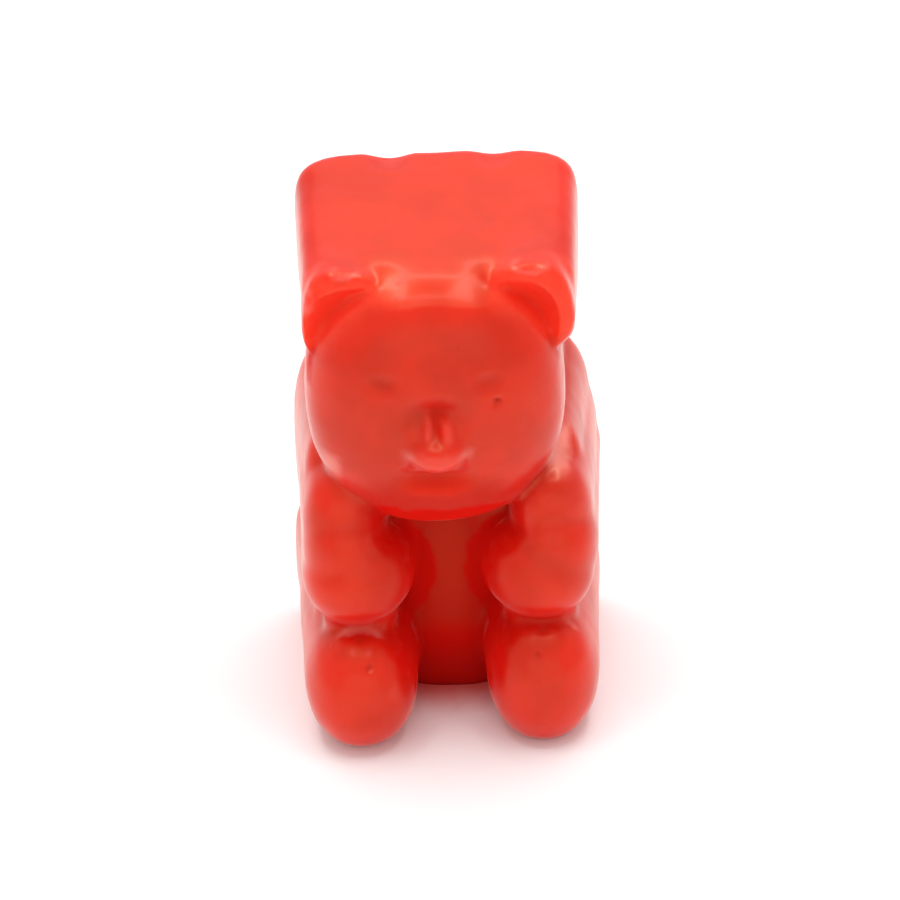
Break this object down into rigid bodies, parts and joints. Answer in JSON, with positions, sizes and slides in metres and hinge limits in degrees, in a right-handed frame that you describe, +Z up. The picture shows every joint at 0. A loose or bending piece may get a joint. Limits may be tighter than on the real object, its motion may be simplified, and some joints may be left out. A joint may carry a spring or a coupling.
{
  "type": "gummy bear",
  "caption": "Moulded gummy sweet shaped as a sitting bear, with round ears, paws on its belly and ball feet, standing upright on its flat base.",
  "frame": {"origin": "middle of the base on the surface that the bear stands on", "axes": "+Z up through the ears, -Y out of the bear's face, +X to the right of someone who looks at its face"},
  "size_m": [0.0128, 0.0118, 0.022],
  "materials": {
    "gummy": "glossy, translucent red fruit gum"
  },
  "bodies": {
    "root": {"gummy_bear": "gummy"}
  },
  "joints": []
}
